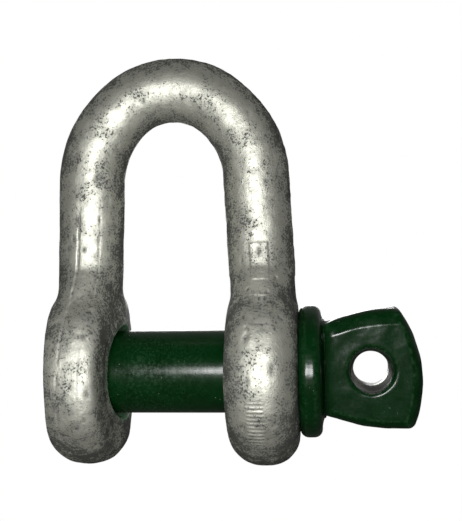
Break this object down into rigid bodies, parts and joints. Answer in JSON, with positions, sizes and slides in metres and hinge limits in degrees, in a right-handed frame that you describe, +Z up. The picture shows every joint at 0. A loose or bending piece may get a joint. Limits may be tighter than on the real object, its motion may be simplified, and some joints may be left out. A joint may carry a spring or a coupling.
{
  "type": "dee shackle",
  "caption": "Galvanised D-shaped shackle with a painted screw pin that passes a plain eye and screws into a tapped eye; flat pin head with a lanyard hole.",
  "frame": {"origin": "middle of the pin's axis, halfway between the two eyes", "axes": "+X along the pin from the tapped eye to the pin's head, +Z up the legs to the crown"},
  "size_m": [0.0968, 0.0486, 0.1085],
  "materials": {
    "zinc_coated_forging": "hot-dip galvanised, mottled satin",
    "green_paint": "thick gloss enamel",
    "bare_steel": "plain forged steel"
  },
  "bodies": {
    "forging": {"shackle_body": "zinc_coated_forging"},
    "pin_carrier": {"pin_core": "bare_steel"},
    "pin": {"screw_pin": "green_paint"}
  },
  "joints": [
    {"name": "pin_travel", "type": "slide", "parent": "forging", "child": "pin_carrier", "axis": [1, 0, 0], "range_m": [0, 0.1]},
    {"name": "pin_turn", "type": "hinge", "parent": "pin_carrier", "child": "pin", "pos_m": [0, 0, 0], "axis": [1, 0, 0], "range_deg": [-5, 14405]}
  ],
  "couplings": [
    {"joint": "pin_turn", "follows": "pin_travel", "rad_per_m": 2513.3}
  ]
}
